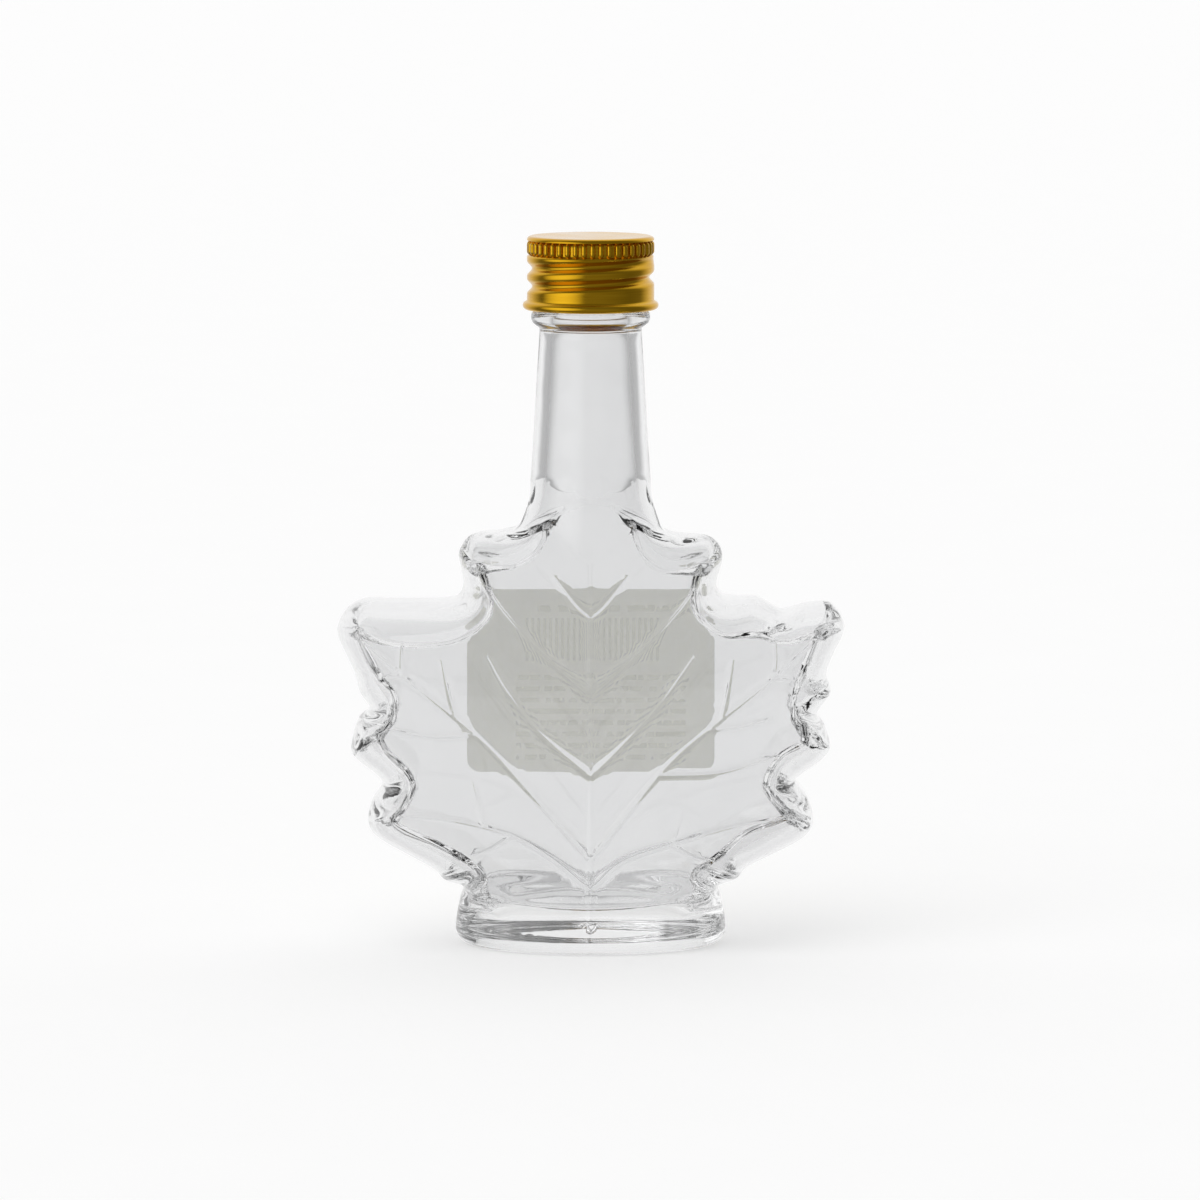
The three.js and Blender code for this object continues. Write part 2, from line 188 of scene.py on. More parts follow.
# rim x, z then crease x, z, from the neck down to the foot
leftEdge = [
    (-9.2, 67.5, -3.9, 68.0), (-10.2, 64.4, -5.0, 66.0), (-11.6, 62.6, -7.1, 64.4),
    (-14.0, 62.4, -7.4, 62.3), (-16.6, 62.3, -8.8, 60.3), (-18.5, 61.4, -11.4, 58.8),
    (-19.7, 59.4, -14.3, 58.4), (-19.6, 57.7, -17.0, 58.5), (-19.1, 54.7, -15.7, 55.0),
    (-19.9, 52.8, -15.2, 52.8), (-22.1, 52.3, -16.4, 50.2), (-25.6, 52.3, -20.1, 47.8),
    (-30.1, 52.3, -25.3, 47.1), (-33.8, 52.3, -30.5, 47.4), (-36.3, 51.0, -33.9, 48.7),
    (-37.8, 48.7, -35.0, 48.3), (-37.9, 46.7, -34.5, 47.1), (-36.7, 44.0, -33.3, 44.4),
    (-35.4, 41.0, -31.7, 41.7), (-34.7, 38.3, -29.8, 39.4), (-33.2, 35.8, -29.6, 36.8),
    (-35.0, 34.0, -30.7, 34.5), (-36.0, 30.0, -32.0, 33.6), (-35.2, 28.2, -30.8, 30.6),
    (-32.3, 25.9, -27.9, 27.7), (-31.4, 24.3, -26.9, 25.5), (-32.9, 21.8, -28.2, 22.4),
    (-33.5, 18.5, -29.8, 20.3), (-32.0, 16.3, -28.1, 18.5), (-28.0, 13.9, -23.6, 16.6),
    (-23.9, 11.6, -19.6, 14.5), (-22.0, 9.8, -17.7, 13.1), (-19.3, 8.9, -16.5, 11.8),
]
rightEdge = [
    (9.2, 67.5, 3.9, 68.0), (10.1, 64.4, 4.6, 66.3), (11.2, 62.4, 6.7, 64.7),
    (13.7, 61.8, 7.2, 62.5), (16.5, 61.9, 8.4, 59.8), (18.2, 61.4, 10.8, 58.1),
    (19.5, 59.9, 13.9, 57.9), (19.7, 58.0, 16.6, 58.5), (18.9, 54.7, 15.8, 55.0),
    (19.7, 53.0, 15.8, 52.8), (22.1, 52.6, 17.0, 50.5), (25.1, 52.5, 20.1, 48.5),
    (28.9, 50.6, 24.3, 48.7), (32.6, 51.6, 28.6, 47.5), (35.9, 51.6, 32.3, 48.3),
    (37.9, 49.0, 34.7, 48.9), (37.8, 46.9, 33.9, 47.4), (36.4, 44.0, 32.7, 44.4),
    (35.4, 41.0, 31.5, 41.4), (36.0, 38.2, 30.7, 38.5), (34.0, 35.0, 30.7, 36.7),
    (35.2, 33.1, 31.3, 35.5), (36.0, 30.0, 32.1, 34.9), (34.8, 28.1, 32.0, 31.8),
    (31.8, 25.9, 28.6, 29.7), (30.9, 24.7, 26.5, 25.9), (32.7, 22.1, 28.2, 23.2),
    (33.5, 18.6, 30.6, 21.2), (32.0, 16.2, 28.2, 19.9), (28.1, 14.0, 23.4, 18.1),
    (23.7, 11.8, 19.9, 15.1), (21.9, 9.9, 17.5, 13.3), (19.3, 8.9, 15.8, 12.1),
]

neck = {
    "joinsAt": 74.0,     # the turned part starts here
    "straightTo": 92.4,
    "levels": 14,
    "boreFrom": 102.0,
    "boreLevels": 18,
    "rows": (74.0, 72.0, 70.0),
    "radius": [(50.0, 5.0), (54.5, 7.4), (57.0, 9.0), (60.0, 9.35), (66.5, 9.3), (70.0, 9.0),
               (76.0, 8.63), (82.0, 8.27), (88.0, 7.9), (93.0, 7.6), (98.0, 7.3)],
    "bore": [(54.0, 5.6), (57.0, 6.6), (60.0, 7.3), (64.0, 7.6), (66.0, 7.6), (68.0, 7.2),
             (70.0, 6.85), (72.0, 6.72), (76.0, 6.5), (82.0, 6.17), (88.0, 5.85), (94.0, 5.6), (100.0, 5.6)],
    "faceShare": 0.4,    # part of the radius that the front face takes
    "middleSteps": 10,
    "collar": [(7.66, 92.9), (7.8, 93.1), (8.2, 93.35), (8.65, 93.75), (8.86, 94.2), (8.9, 94.7), (8.86, 95.1),
               (8.7, 95.35), (8.3, 95.48), (7.95, 95.5)],
    "mouth": [(7.9, 96.0), (7.9, 98.0), (7.9, 101.0), (7.9, 104.6), (7.86, 105.1), (7.6, 105.5), (7.2, 105.6),
              (6.4, 105.6), (5.95, 105.45), (5.7, 105.1), (5.6, 104.4)],
}

foot = {
    "joinsAt": 3.0,      # heel starts here
    "rows": (7.2, 5.2, 3.0),
    "crease": (16.0, 15.5, 15.0),
    "creaseHeights": (9.0, 6.4, 3.0),
    "half": [(1.0, 20.7, 13.9), (3.0, 20.4, 13.45), (4.8, 20.12, 12.95), (6.5, 19.8, 12.55), (9.0, 19.25, 12.2),
             (11.0, 18.9, 11.95), (13.0, 18.6, 11.75), (15.0, 18.3, 11.55)],
    "middleSteps": 18,
    "heel": 2.6,
    "stand": 1.4,        # width of the ring that it stands on
    "punt": 0.5,
    "puntSteps": [(0.0, 0.0), (0.35, 0.04), (1.0, 0.14), (2.2, 0.24), (4.5, 0.37), (7.0, 0.45)],
}

# width at the root, then points from root to tip
veinRows = [
    (1.5, (0, 4.6), (0, 16), (0, 28), (0, 40)),
    (1.3, (0, 40), (0, 47), (0, 54.4)),
    (1.5, (0, 51.0), (-2.2, 52.9), (-5.1, 56.4)),
    (1.5, (0, 51.0), (2.2, 52.9), (5.2, 56.4)),
    (1.5, (0, 39.2), (-6.9, 45.1), (-12.5, 51.2), (-15.0, 54.6)),
    (1.5, (0, 39.2), (6.9, 45.2), (12.6, 51.2), (15.2, 54.6)),
    (1.6, (0, 27.1), (-7.3, 33.2), (-12.6, 39.8), (-15.4, 44.8)),
    (1.6, (0, 27.1), (4.6, 31.4), (10.4, 37.8), (15.2, 44.6)),
    (1.6, (0, 14.6), (-8.9, 24.6), (-17.3, 33.4), (-27.0, 41.4), (-34.2, 47.5)),
    (1.6, (0, 14.6), (10.3, 27.4), (18.2, 34.6), (27.0, 41.6), (33.8, 47.8)),
    (0.9, (-28.0, 42.2), (-28.1, 45), (-27.8, 47.7)),
    (0.9, (27.2, 41.8), (27.5, 44.5), (27.5, 47.4)),
    (0.9, (-27.8, 42.2), (-29.2, 42.1), (-30.8, 41.9)),
    (0.9, (27.2, 41.8), (28.4, 41.6), (29.8, 41.4)),
    (1.1, (-20.1, 36.0), (-21.2, 40.0), (-22.1, 44.3)),
    (1.1, (19.6, 36.0), (20.4, 40.0), (21.1, 44.3)),
    (1.1, (-17.4, 33.3), (-23.9, 33.1), (-29.6, 34.0)),
    (1.1, (18.0, 34.2), (22.2, 34.6), (26.2, 35.6)),
    (1.1, (10.2, 27.2), (19.1, 27.6), (27.2, 30.0)),
    (1.5, (0, 10.2), (-6.0, 14.9), (-12.3, 18.4), (-21.4, 20.6), (-29.3, 21.2)),
    (1.5, (0, 10.2), (4.6, 14.2), (12.6, 17.0), (21.6, 19.6), (30.3, 21.1)),
    (0.9, (-15.8, 19.6), (-16.7, 23.2), (-17.4, 25.9)),
    (0.9, (12.2, 17.0), (13.0, 19.3), (13.5, 21.4)),
    (0.9, (-12.0, 18.0), (-14.7, 16.3), (-17.1, 15.4)),
    (0.9, (12.0, 16.8), (14.8, 15.2), (17.2, 14.3)),
]

vein = {
    "rise": 0.5,
    "step": 0.45,
    "taper": 0.75,
    "across": (-1.15, -0.78, -0.42, 0.0, 0.42, 0.78, 1.15),
    "margin": 0.25,      # kept clear of the crease
    "pointGap": 0.17,
}

ridge = {
    "rise": 0.35,        # raised line round the front face
    "width": 0.55,
    "from": 11.0,
    "to": 65.0,
    "fade": 3.0,
}

label = {
    "halfWidth": 18.8,
    "low": 24.3,
    "high": 52.5,
    "corner": 2.0,
    "gap": 0.3,
    "thick": 0.16,
    "columns": 60,
    "rows": 48,
}


def leafDepthAt(z):
    up = np.clip(z - leaf["thinFrom"], 0, None) / leaf["thinSpan"]
    low = np.clip(leaf["tuckBelow"] - z, 0, None)
    return leaf["depth"] - leaf["thinBy"] * up * up - leaf["tuckBy"] * low


def neckDepthAt(x, z, knots):
    r = graded(z, knots, 1)
    return np.where((np.abs(x) < r) & (z > knots[0][0]), np.sqrt(np.clip(r * r - x * x, 0, None)), -9.0)


def footDepthAt(x, z):
    a = graded(z, foot["half"], 1)
    b = graded(z, foot["half"], 2)
    return np.where((np.abs(x) < a) & (z < 15.0), b * np.sqrt(np.clip(1 - (x / a) ** 2, 0, None)), -9.0)


def veinLines():
    lines = []
    for row in veinRows:
        path = curveThrough(row[1:], 24)
        run = np.concatenate([[0.0], np.cumsum(np.hypot(*np.diff(path, axis=0).T))])
        at = np.linspace(0.0, run[-1], max(int(run[-1] / vein["step"]), 4))
        spot = np.column_stack([np.interp(at, run, path[:, 0]), np.interp(at, run, path[:, 1])])
        along = np.gradient(spot, axis=0)
        along /= np.linalg.norm(along, axis=1)[:, None]
        taper = 1 - vein["taper"] * at / run[-1]
        lines.append({
            "spot": spot,
            "side": np.column_stack([-along[:, 1], along[:, 0]]),
            "half": 0.5 * row[0] * taper,
            "rise": vein["rise"] * (0.4 + 0.6 * taper),
        })
    return lines


def veinRiseAt(points, lines):
    rise = np.zeros(len(points))
    for line in lines:
        away = np.hypot(points[:, None, 0] - line["spot"][None, :, 0], points[:, None, 1] - line["spot"][None, :, 1])
        nearest = away.argmin(axis=1)
        share = np.clip(away[np.arange(len(points)), nearest] / line["half"][nearest], 0, 1)
        rise = np.maximum(rise, line["rise"][nearest] * (1 - share ** 2) ** 2)
    return rise


def leafRing(loop):
    # angles of the turned part's points, left to right over the front
    turn = math.radians(leaf["rimTurn"])
    side = np.linspace(0.0, turn, leaf["rimSteps"] + 1)
    middle = np.linspace(turn, math.pi - turn, neck["middleSteps"] + 1)[1:-1]
    front = np.concatenate([side, middle, math.pi - side[::-1]])
    return np.concatenate([front, 2 * math.pi - front[-2:0:-1]]) if loop else front


def rimGrid(rows):
    steps = leaf["rimSteps"]
    turn = math.radians(leaf["rimTurn"])
    spots = []
    lifts = []
    for k in range(steps + 1):
        angle = turn * k / steps
        inset = (1 - math.cos(angle)) / (1 - math.cos(turn))
        spots.append(rows[:, 0:2] * (1 - inset) + rows[:, 2:4] * inset)
        lifts.append(math.sin(angle) / math.sin(turn) * (leafDepthAt(rows[:, 3]) - leaf["creaseDrop"]))
    return np.stack(spots, 1), np.stack(lifts, 1)


def leafSheet(leftRows, rightRows, bottomX, gridStep, lines):
    # flat layout of one side: rim grids left and right, then a triangulated face between the creases
    spots = []
    loft = []
    quads = []
    grids = []
    for rows in (leftRows, rightRows):
        grid, lift = rimGrid(rows)
        first = sum(len(s) for s in spots)
        index = first + np.arange(grid.shape[0] * grid.shape[1]).reshape(grid.shape[:2])
        spots.append(grid.reshape(-1, 2))
        loft.append(lift.reshape(-1))
        grids.append(index)
        for a, b in zip(index[:-1], index[1:]):
            quads += [(a[k], b[k], b[k + 1], a[k + 1]) for k in range(leaf["rimSteps"])]
    left, right = grids
    flat = np.vstack(spots)

    radius = -flat[left[0, 0], 0]
    topFaceX = -radius * np.cos(leafRing(False)[leaf["rimSteps"] + 1:-leaf["rimSteps"] - 1])
    top = np.column_stack([topFaceX, np.full(len(topFaceX), leftRows[0, 1])])
    bottom = np.column_stack([bottomX, np.full(len(bottomX), leftRows[-1, 1])])
    extra = np.vstack([bottom, top])
    start = len(flat)
    bottomIndex = list(range(start, start + len(bottom)))
    topIndex = list(range(start + len(bottom), start + len(extra)))
    edge = list(left[:, -1]) + bottomIndex + list(right[::-1, -1]) + topIndex[::-1]
    flat = np.vstack([flat, extra])
    loop = flat[edge]

    inner = np.zeros((0, 2))
    along = np.roll(loop, -1, axis=0) - np.roll(loop, 1, axis=0)
    inwards = np.column_stack([-along[:, 1], along[:, 0]]) / np.linalg.norm(along, axis=1)[:, None]
    for share in leaf["creaseRows"]:
        fresh = loop + inwards * share * leaf["creaseWidth"]
        fresh = fresh[insideOf(fresh, loop)]
        fresh = fresh[clearOf(fresh, loop, 0.85 * share * leaf["creaseWidth"])]
        fresh = fresh[clearOf(fresh, inner, leaf["pointGap"])]
        inner = np.vstack([inner, fresh])
    for line in lines:
        ribs = [line["spot"] + line["side"] * (line["half"] * share)[:, None] for share in vein["across"]]
        fresh = np.vstack(ribs)
        fresh = fresh[insideOf(fresh, loop)]
        fresh = fresh[clearOf(fresh, loop, vein["margin"])]
        fresh = fresh[clearOf(fresh, inner, vein["pointGap"])]
        inner = np.vstack([inner, fresh])
    low, high = loop.min(0), loop.max(0)
    gx = np.arange(low[0], high[0], gridStep)
    gz = np.arange(low[1] + 0.5 * gridStep, high[1], gridStep * 0.866)
    field = np.array([(x + 0.5 * gridStep * (j % 2), z) for j, z in enumerate(gz) for x in gx])
    field = field[insideOf(field, loop)]
    field = field[clearOf(field, loop, 0.5 * gridStep)]
    field = field[clearOf(field, inner, 0.5 * gridStep)]
    inner = np.vstack([inner, field])

    cloud = np.vstack([loop, inner])
    made = delaunay_2d_cdt([Vector(p) for p in cloud], [], [list(range(len(loop)))], 1, 1e-7)
    ids = list(edge) + list(range(len(flat), len(flat) + len(inner)))
    flat = np.vstack([flat, inner])
    origin = [ids[o[0]] if o else -1 for o in made[3]]
    added = [i for i, o in enumerate(origin) if o < 0]
    for i in added:
        origin[i] = len(flat)
        flat = np.vstack([flat, [made[0][i][:]]])
    faces = [tuple(origin[i] for i in face) for face in made[2]]
    faceFrom = sum(len(s) for s in spots)
    face = flat[faceFrom:]
    close = 1 - np.clip(nearestGap(face, denser(loop, 5)) / leaf["creaseWidth"], 0, 1)
    height = np.concatenate([*loft, leafDepthAt(face[:, 1]) - leaf["creaseDrop"] * close ** 2])
    print("sheet", len(flat), "points,", len(added), "added")
    return {
        "flat": flat,
        "loft": height,
        "faces": quads + faces,
        "rimEnds": np.concatenate([left[:, 0], right[:, 0]]),
        "faceFrom": faceFrom,
        "crease": denser(loop, 5),
        "bottom": list(left[-1]) + bottomIndex + list(right[-1][::-1]),
    }


def outerRows(rows, sign, perSpan):
    turned = [(sign * graded(z, neck["radius"], 1), z, sign * neck["faceShare"] * graded(z, neck["radius"], 1), z)
              for z in neck["rows"]]
    standing = [(sign * graded(z, foot["half"], 1), z, sign * x, h)
                for z, x, h in zip(foot["rows"], foot["crease"], foot["creaseHeights"])]
    return curveThrough(turned + list(rows) + standing, perSpan)


def skinDepth(sheet):
    x, z = sheet["flat"].T
    fade = np.clip((neck["joinsAt"] - leaf["topMargin"] - z) / leaf["fade"], 0, 1)
    fade *= np.clip((z - foot["joinsAt"] - leaf["footMargin"]) / leaf["fade"], 0, 1)
    plain = sheet["loft"] * fade - 9 * (1 - fade)
    plain = softMax(plain, neckDepthAt(x, z, neck["radius"]), leaf["blend"])
    plain = softMax(plain, footDepthAt(x, z), leaf["blend"])
    plain[sheet["bottom"]] = np.clip(footDepthAt(x, z)[sheet["bottom"]], 0, None)
    plain[sheet["rimEnds"]] = 0.0
    return plain


class Skin:
    def __init__(self):
        self.verts = []
        self.faces = []

    def add(self, points, polygons):
        first = len(self.verts)
        self.verts.extend(map(tuple, points))
        self.faces.extend(tuple(int(i) + first for i in p) for p in polygons)

    def addRings(self, rings, close=None):
        count = len(rings[0])
        strips = []
        for r in range(len(rings) - 1):
            strips += [(r * count + i, r * count + (i + 1) % count, (r + 1) * count + (i + 1) % count,
                        (r + 1) * count + i) for i in range(count)]
        points = np.vstack(rings)
        if close is not None:
            points = np.vstack([points, close])
            last = (len(rings) - 1) * count
            strips += [(last + i, last + (i + 1) % count, len(points) - 1) for i in range(count)]
        self.add(points, strips)


def footRing(sheet, plain):
    ring = sheet["bottom"]
    front = np.column_stack([sheet["flat"][ring, 0], -plain[ring], sheet["flat"][ring, 1]])
    return np.vstack([front, (front * (1, -1, 1))[-2:0:-1]])


def makeHollow():
    # the outside drawn in by the wall's thickness, with a bore, a floor and rounded corners
    bottomX = np.linspace(-foot["crease"][-1], foot["crease"][-1], foot["middleSteps"] + 1)[1:-1]
    sheet = leafSheet(outerRows(leftEdge, -1, hollow["perSpan"]), outerRows(rightEdge, 1, hollow["perSpan"]),
                      bottomX, hollow["gridStep"], [])
    plain = skinDepth(sheet)
    x, z = sheet["flat"].T
    skin = Skin()
    skin.add(np.column_stack([x, -plain, z]), sheet["faces"])
    skin.add(np.column_stack([x, plain, z]), sheet["faces"])
    around = footRing(sheet, plain)
    skin.addRings([around * (share, share, 1) for share in hollow["baseRings"]], (0.0, 0.0, foot["joinsAt"]))
    shape = bmesh.new()
    spots = [shape.verts.new(v) for v in skin.verts]
    for face in skin.faces:
        shape.faces.new([spots[i] for i in face])
    bmesh.ops.remove_doubles(shape, verts=shape.verts, dist=0.004)
    bmesh.ops.recalc_face_normals(shape, faces=shape.faces)
    shape.normal_update()
    shape.verts.index_update()
    at = np.array([v.co for v in shape.verts])
    out = np.array([v.normal for v in shape.verts])
    pairs = np.array([[v.index for v in e.verts] for e in shape.edges])
    faces = [[v.index for v in f.verts] for f in shape.faces]
    shape.free()

    height = at[:, 2]
    shrink = graded(height, neck["bore"], 1) / graded(height, neck["radius"], 1)
    wall = graded(height, hollow["wall"], 1)  # thicker towards the neck and round the rim
    fade = np.clip((hollow["rimExtraBelow"] - height) / hollow["rimExtraFade"], 0, 1)
    wall += hollow["rimExtra"] * (1 - np.abs(out[:, 1])) * fade
    inward = at - wall[:, None] * out
    bored = at * np.column_stack([shrink, shrink, np.ones(len(at))])
    share = np.clip((height - hollow["boreFrom"]) / (hollow["boreFull"] - hollow["boreFrom"]), 0, 1)
    share = (share * share * (3 - 2 * share))[:, None]
    spot = inward * (1 - share) + bored * share
    rise = hollow["floorRise"]
    floor = hollow["floor"] + hollow["floorTilt"] * spot[:, 1]
    floor += rise[0] * spot[:, 0] ** 2 + rise[1] * spot[:, 1] ** 2
    floor -= hollow["floorFall"] * np.clip(np.abs(spot[:, 0]) - hollow["floorEnds"], 0, None)
    lifted = softMax(spot[:, 2], floor, hollow["floorSoft"])
    spot[:, 2] = np.where(height < hollow["floorBelow"], lifted, spot[:, 2])
    degree = np.bincount(pairs.ravel(), minlength=len(spot))[:, None]
    loose = np.clip((hollow["looseBelow"] - height) / hollow["looseFade"], 0, 1)[:, None]
    for _ in range(hollow["smoothing"]):
        total = np.zeros_like(spot)
        np.add.at(total, pairs[:, 0], spot[pairs[:, 1]])
        np.add.at(total, pairs[:, 1], spot[pairs[:, 0]])
        spot += 0.5 * loose * (total / degree - spot)
    return spot, faces


def makeBottle(glass):
    lines = veinLines()
    turn = leafRing(True)
    skin = Skin()

    # outside
    bottomX = np.linspace(-foot["crease"][-1], foot["crease"][-1], foot["middleSteps"] + 1)[1:-1]
    sheet = leafSheet(outerRows(leftEdge, -1, leaf["perSpan"]), outerRows(rightEdge, 1, leaf["perSpan"]),
                      bottomX, leaf["gridStep"], lines)
    x, z = sheet["flat"].T
    plain = skinDepth(sheet)
    rise = veinRiseAt(sheet["flat"], lines)
    rise[:sheet["faceFrom"]] = 0.0
    away = np.clip(nearestGap(sheet["flat"], sheet["crease"]) / ridge["width"], 0, 1)
    ends = np.clip((z - ridge["from"]) / ridge["fade"], 0, 1) * np.clip((ridge["to"] - z) / ridge["fade"], 0, 1)
    rise = np.maximum(rise, ridge["rise"] * ends * (1 - away ** 2) ** 2)
    skin.add(np.column_stack([x, -(plain + rise), z]), sheet["faces"])
    skin.add(np.column_stack([x, plain, z]), sheet["faces"])

    # neck, collar, mouth and bore, turned
    levels = np.linspace(neck["joinsAt"], neck["straightTo"], neck["levels"])
    profile = [(graded(h, neck["radius"], 1), h) for h in levels] + neck["collar"] + neck["mouth"]
    levels = np.linspace(neck["boreFrom"], neck["joinsAt"], neck["boreLevels"])
    profile += [(graded(h, neck["bore"], 1), h) for h in levels]
    skin.addRings([np.column_stack([-r * np.cos(turn), -r * np.sin(turn), np.full(len(turn), h)])
                   for r, h in profile])

    # heel, standing ring and punt
    around = footRing(sheet, plain)
    a = graded(foot["joinsAt"], foot["half"], 1)
    b = graded(foot["joinsAt"], foot["half"], 2)
    steps = [(0.0, foot["heel"])]
    for k in range(1, 10):
        angle = math.radians(10 * k)
        steps.append((foot["heel"] * (1 - math.cos(angle)), foot["heel"] * (1 - math.sin(angle))))
    inner = foot["heel"] + foot["stand"]
    steps += [(inner + inset, height) for inset, height in foot["puntSteps"]]
    rings = [around]
    for inset, height in steps:
        rings.append(np.column_stack([around[:, 0] * (a - inset) / a, around[:, 1] * (b - inset) / b,
                                      np.full(len(around), height)]))
    skin.addRings(rings, (0.0, 0.0, foot["punt"]))

    skin.add(*makeHollow())

    bottle = pieceFrom("glassBottle", skin.verts, skin.faces)
    bottle.data.materials.append(glass)
    return bottle


# cap: spun aluminium with a knurled band, a rolled thread and a bead

cap = {
    "bottom": 95.7,
    "top": 106.7,
    "radius": 9.5,
    "bore": 8.35,
    "beadRadius": 10.15,
    "bead": 0.65,
    "segments": 270,
    "skirt": (97.25, 103.5),
    "skirtStep": 0.16,
    "threadPitch": 2.67,
    "threadDepth": 0.75,
    "threadHalf": 1.1,
    "threadStart": 98.6,
    "threadTurns": 1.75,
    "threadPhase": 0.28,
    "threadFade": 0.15,
}

knurl = {
    "count": 45,
    "radius": 9.08,
    "width": 0.86,
    "steps": 11,
    "sides": 12,
    "low": 103.82,
    "high": 106.02,
}


def threadGroove(angle, z):
    depth = np.zeros_like(angle)
    for turn in range(3):
        run = angle / (2 * math.pi) + turn - cap["threadPhase"]
        off = np.clip(np.abs(z - cap["threadStart"] - cap["threadPitch"] * run) / cap["threadHalf"], 0, 1)
        fade = np.clip(np.minimum(run, cap["threadTurns"] - run) / cap["threadFade"], 0, 1)
        depth = np.maximum(depth, fade * cap["threadDepth"] * np.cos(0.5 * math.pi * off) ** 2)
    return depth


def makeKnurlTree(gold):
    tree = bpy.data.node_groups.new("capKnurls", "GeometryNodeTree")
    face = tree.interface
    for name, kind in (("Count", "NodeSocketInt"), ("Radius", "NodeSocketFloat"), ("Low", "NodeSocketFloat"),
                       ("High", "NodeSocketFloat"), ("Width", "NodeSocketFloat")):
        face.new_socket(name, in_out="INPUT", socket_type=kind)
    face.new_socket("Geometry", in_out="OUTPUT", socket_type="NodeSocketGeometry")
    nodes = tree.nodes
    link = tree.links.new
    given = nodes.new("NodeGroupInput")
    out = nodes.new("NodeGroupOutput")
    ring = nodes.new("GeometryNodeMeshCircle")
    link(given.outputs["Count"], ring.inputs["Vertices"])
    link(given.outputs["Radius"], ring.inputs["Radius"])
    low = nodes.new("ShaderNodeCombineXYZ")
    high = nodes.new("ShaderNodeCombineXYZ")
    link(given.outputs["Low"], low.inputs["Z"])
    link(given.outputs["High"], high.inputs["Z"])
    bar = nodes.new("GeometryNodeCurvePrimitiveLine")
    link(low.outputs["Vector"], bar.inputs["Start"])
    link(high.outputs["Vector"], bar.inputs["End"])
    fine = nodes.new("GeometryNodeResampleCurve")
    fine.inputs["Count"].default_value = knurl["steps"]
    link(bar.outputs["Curve"], fine.inputs["Curve"])
    along = nodes.new("GeometryNodeSplineParameter")
    taper = nodes.new("ShaderNodeFloatCurve")  # rounded ends
    points = taper.mapping.curves[0].points
    points[0].location = (0.0, 0.05)
    points[1].location = (1.0, 0.05)
    for spot in ((0.12, 0.72), (0.25, 1.0), (0.75, 1.0), (0.88, 0.72)):
        points.new(*spot)
    taper.mapping.update()
    link(along.outputs["Factor"], taper.inputs["Value"])
    shaped = nodes.new("GeometryNodeSetCurveRadius")
    link(fine.outputs["Curve"], shaped.inputs["Curve"])
    link(taper.outputs["Value"], shaped.inputs["Radius"])
    half = nodes.new("ShaderNodeMath")
    half.operation = "MULTIPLY"
    half.inputs[1].default_value = 0.5
    link(given.outputs["Width"], half.inputs[0])
    section = nodes.new("GeometryNodeCurvePrimitiveCircle")
    section.inputs["Resolution"].default_value = knurl["sides"]
    link(half.outputs["Value"], section.inputs["Radius"])
    solid = nodes.new("GeometryNodeCurveToMesh")
    solid.inputs["Fill Caps"].default_value = True
    link(shaped.outputs["Curve"], solid.inputs["Curve"])
    link(section.outputs["Curve"], solid.inputs["Profile Curve"])
    if "Scale" in solid.inputs:
        link(taper.outputs["Value"], solid.inputs["Scale"])
    copies = nodes.new("GeometryNodeInstanceOnPoints")
    link(ring.outputs["Mesh"], copies.inputs["Points"])
    link(solid.outputs["Mesh"], copies.inputs["Instance"])
    real = nodes.new("GeometryNodeRealizeInstances")
    link(copies.outputs["Instances"], real.inputs["Geometry"])
    smooth = nodes.new("GeometryNodeSetShadeSmooth")
    link(real.outputs["Geometry"], smooth.inputs["Geometry"])
    dress = nodes.new("GeometryNodeSetMaterial")
    dress.inputs["Material"].default_value = gold
    link(smooth.outputs["Geometry"], dress.inputs["Geometry"])
    link(dress.outputs["Geometry"], out.inputs["Geometry"])
    return tree


def meshFromTree(name, tree, values):
    holder = bpy.data.objects.new(name, bpy.data.meshes.new(name + "Seed"))
    bpy.context.collection.objects.link(holder)
    grown = holder.modifiers.new(name, "NODES")
    grown.node_group = tree
    for item in tree.interface.items_tree:
        if item.item_type == "SOCKET" and item.in_out == "INPUT" and item.name in values:
            grown[item.identifier] = values[item.name]
    depsgraph = bpy.context.evaluated_depsgraph_get()
    mesh = bpy.data.meshes.new_from_object(holder.evaluated_get(depsgraph))
    holder.modifiers.remove(grown)
    holder.data = mesh
    print(name, len(mesh.polygons), "faces")
    return holder


